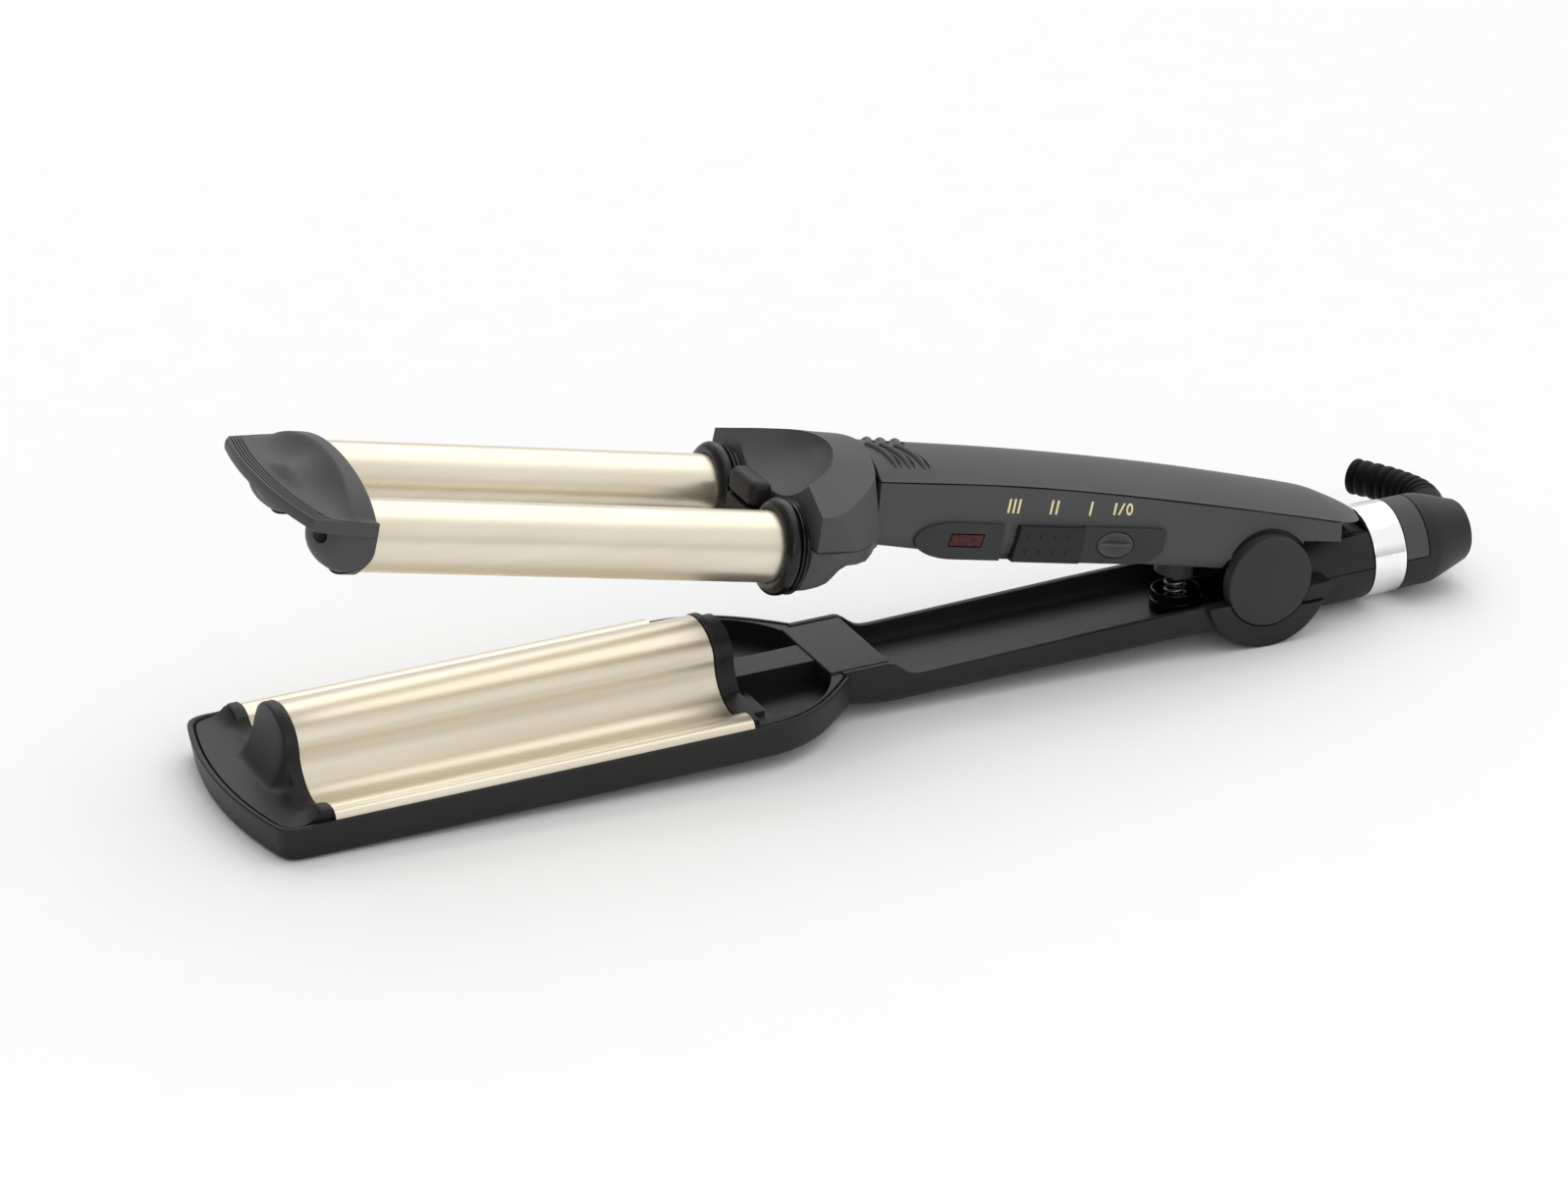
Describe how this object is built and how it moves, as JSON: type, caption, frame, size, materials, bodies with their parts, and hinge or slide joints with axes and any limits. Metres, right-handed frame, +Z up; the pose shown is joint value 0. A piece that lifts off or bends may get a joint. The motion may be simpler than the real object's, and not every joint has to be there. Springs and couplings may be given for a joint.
{
  "type": "hair waver",
  "caption": "Handheld hair waver: heated barrels on a handle close over a wave-shaped heated plate on a sprung lower arm, with a swivel cord exit.",
  "frame": {"origin": "on the table, on the flat foot of the hinge drum, straight under the hinge pin", "axes": "-X towards the working end, +X towards the cord, -Y the side with the controls, +Z up"},
  "size_m": [0.377, 0.0861, 0.0958],
  "materials": {
    "gold_coating": "satin champagne-gold ceramic coating",
    "handle_black": "satin moulded, soft sheen",
    "jaw_black": "satin moulded, heat resistant",
    "cord_rubber": "matt flexible",
    "chrome_trim": "polished",
    "steel": "zinc plated",
    "heater_body": "raw, wrapped in insulating film",
    "red_lens": "clear dark red, textured back",
    "board": "solder mask"
  },
  "bodies": {
    "lower_arm": {"lower_arm_shell": "jaw_black", "jaw_nose_insert": "jaw_black", "jaw_rear_insert": "jaw_black", "wave_plate": "gold_coating", "wave_plate_heater": "heater_body", "hinge_pin": "steel", "hinge_cap_near": "handle_black", "hinge_cap_far": "handle_black", "spring_cup": "jaw_black", "opening_spring": "steel", "cord_housing_cover": "jaw_black", "chrome_ring": "chrome_trim", "jaw_screw_front": "steel", "jaw_screw_rear": "steel", "cord_housing_screw": "steel"},
    "cord_swivel": {"swivel_barrel": "jaw_black", "swivel_body": "jaw_black", "swivel_cover": "jaw_black", "strain_relief": "cord_rubber"},
    "upper_arm": {"barrel_near": "gold_coating", "barrel_far": "gold_coating", "barrel_heater_near": "heater_body", "barrel_heater_far": "heater_body", "collar_near": "jaw_black", "collar_far": "jaw_black", "collar_ring_near": "jaw_black", "collar_ring_far": "jaw_black", "head_screw_near": "steel", "head_screw_far": "steel", "tip_cap_upper": "handle_black", "tip_cap_lower": "handle_black", "centre_block_upper": "jaw_black", "centre_block_lower": "jaw_black", "head_upper": "handle_black", "head_lower": "handle_black", "handle_lid": "handle_black", "handle_tub": "handle_black", "control_panel": "handle_black", "lamp_lens": "red_lens", "circuit_board": "board", "handle_screw_front": "steel", "handle_screw_rear": "steel"},
    "slider": {"heat_slider": "jaw_black"},
    "button": {"power_button": "handle_black"}
  },
  "joints": [
    {"name": "jaw_hinge", "type": "hinge", "parent": "lower_arm", "child": "upper_arm", "pos_m": [-0.00052, 0, 0.01932], "axis": [0, 1, 0], "range_deg": [-13, 0], "stiffness_Nm_per_rad": 1.5, "springref_deg": 20.05, "deforming": ["opening_spring"]},
    {"name": "cord_turn", "type": "hinge", "parent": "lower_arm", "child": "cord_swivel", "pos_m": [0.05963, 0, 0.01438], "axis": [0.9996, 0, 0.0265], "continuous": true},
    {"name": "heat_slide", "type": "slide", "parent": "upper_arm", "child": "slider", "axis": [0.9796, 0, -0.2007], "range_m": [-0.003, 0]},
    {"name": "power_push", "type": "slide", "parent": "upper_arm", "child": "button", "axis": [0, 1, 0], "range_m": [0, 0.0012], "stiffness_N_per_m": 400}
  ]
}
